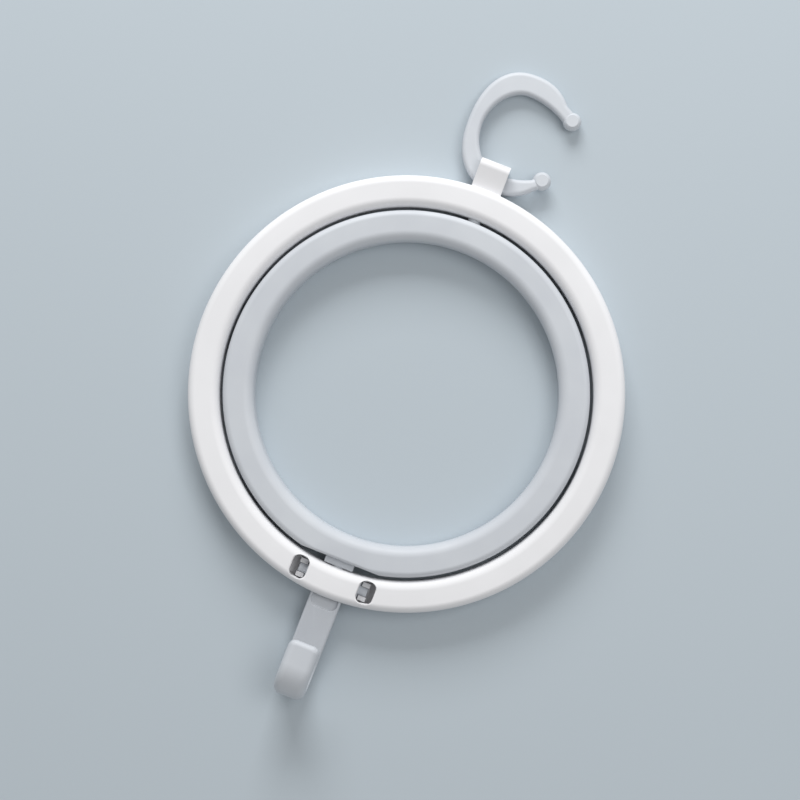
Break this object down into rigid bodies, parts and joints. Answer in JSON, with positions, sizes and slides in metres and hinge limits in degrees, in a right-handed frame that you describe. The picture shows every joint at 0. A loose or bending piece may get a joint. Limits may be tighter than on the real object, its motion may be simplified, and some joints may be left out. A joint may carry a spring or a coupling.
{
  "type": "double ring hanger",
  "caption": "Plastic hanger with an inner ring that turns inside an outer ring, an open ball-ended hook for a rail, and a folding J hook below.",
  "frame": {"origin": "on the surface the hanger lies on, under the middle of its whole length and width", "axes": "+Y from the lower hook towards the rail hook, +Z out of the front face, +X to the right seen from the front"},
  "size_m": [0.16, 0.2448, 0.025],
  "materials": {
    "white_plastic": "smooth satin moulding",
    "grey_plastic": "smooth satin moulding"
  },
  "bodies": {
    "outer_ring": {"outer_ring_front": "white_plastic", "outer_ring_back": "white_plastic"},
    "inner_ring": {"inner_ring_front": "grey_plastic", "inner_ring_back": "grey_plastic", "upper_pivot_pin": "grey_plastic", "lower_pivot_block": "grey_plastic"},
    "lower_hook": {"lower_hook": "grey_plastic"},
    "rail_hook": {"rail_hook": "grey_plastic"}
  },
  "joints": [
    {"name": "inner_ring_turn", "type": "hinge", "parent": "outer_ring", "child": "inner_ring", "pos_m": [0, -0.004, 0.006], "axis": [0, 1, 0], "continuous": true},
    {"name": "lower_hook_fold", "type": "hinge", "parent": "outer_ring", "child": "lower_hook", "pos_m": [0, -0.0772, 0.006], "axis": [1, 0, 0], "range_deg": [0, 90]},
    {"name": "rail_hook_swing", "type": "hinge", "parent": "outer_ring", "child": "rail_hook", "pos_m": [0, 0.07975, 0.00487], "axis": [1, 0, 0], "range_deg": [-86, 20]}
  ]
}
